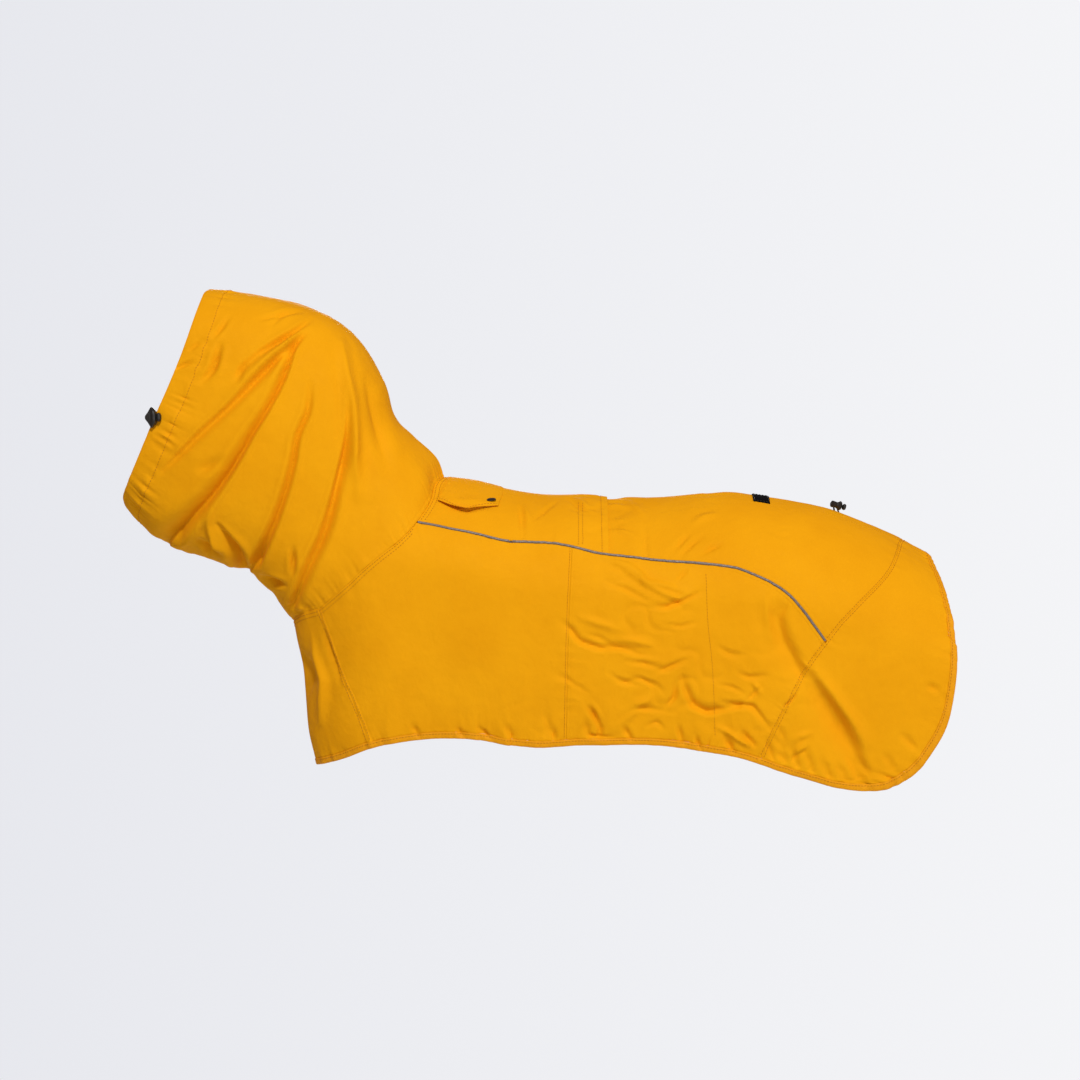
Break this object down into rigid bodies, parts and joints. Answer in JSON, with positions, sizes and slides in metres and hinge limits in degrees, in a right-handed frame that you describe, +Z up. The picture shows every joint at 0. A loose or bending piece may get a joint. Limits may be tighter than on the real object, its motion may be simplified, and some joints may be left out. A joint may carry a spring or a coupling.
{
  "type": "dog raincoat",
  "caption": "Hooded raincoat for a dog, open below and at the tail, with a back yoke, piped seams, a snapped flap over the leash slit, and cord locks at the hood and tail.",
  "frame": {"origin": "on the inner face of the centre back, where the coat lies on the wearer's back, 96 mm behind the collar seam", "axes": "+X towards the tail, +Z up, -Y to the wearer's left side, which is the side the picture shows"},
  "size_m": [0.8244, 0.1926, 0.4959],
  "materials": {
    "coated_cloth": "smooth waterproof coated cloth, warm yellow",
    "reflective_tape": "grey retroreflective tape",
    "black_plastic": "moulded, matt",
    "dark_metal": "dark lacquered press stud",
    "black_label": "bare woven patch"
  },
  "bodies": {
    "root": {"back_yoke_front": "coated_cloth", "back_yoke_rear": "coated_cloth", "chest_panel": "coated_cloth", "hem_binding_chest": "coated_cloth", "hem_binding_left": "coated_cloth", "hem_binding_right": "coated_cloth", "hem_binding_tail": "coated_cloth", "hood_left": "coated_cloth", "hood_lock_left": "black_plastic", "hood_lock_right": "black_plastic", "hood_plunger_left": "black_plastic", "hood_plunger_right": "black_plastic", "hood_right": "coated_cloth", "label_patch": "black_label", "leash_flap": "coated_cloth", "leash_snap": "dark_metal", "piping_left": "reflective_tape", "piping_right": "reflective_tape", "side_front_left": "coated_cloth", "side_front_right": "coated_cloth", "side_rear_left": "coated_cloth", "side_rear_right": "coated_cloth", "tail_cord_front": "black_plastic", "tail_cord_rear": "black_plastic", "tail_lock": "black_plastic", "tail_panel": "coated_cloth", "tail_plunger": "black_plastic"}
  },
  "joints": []
}
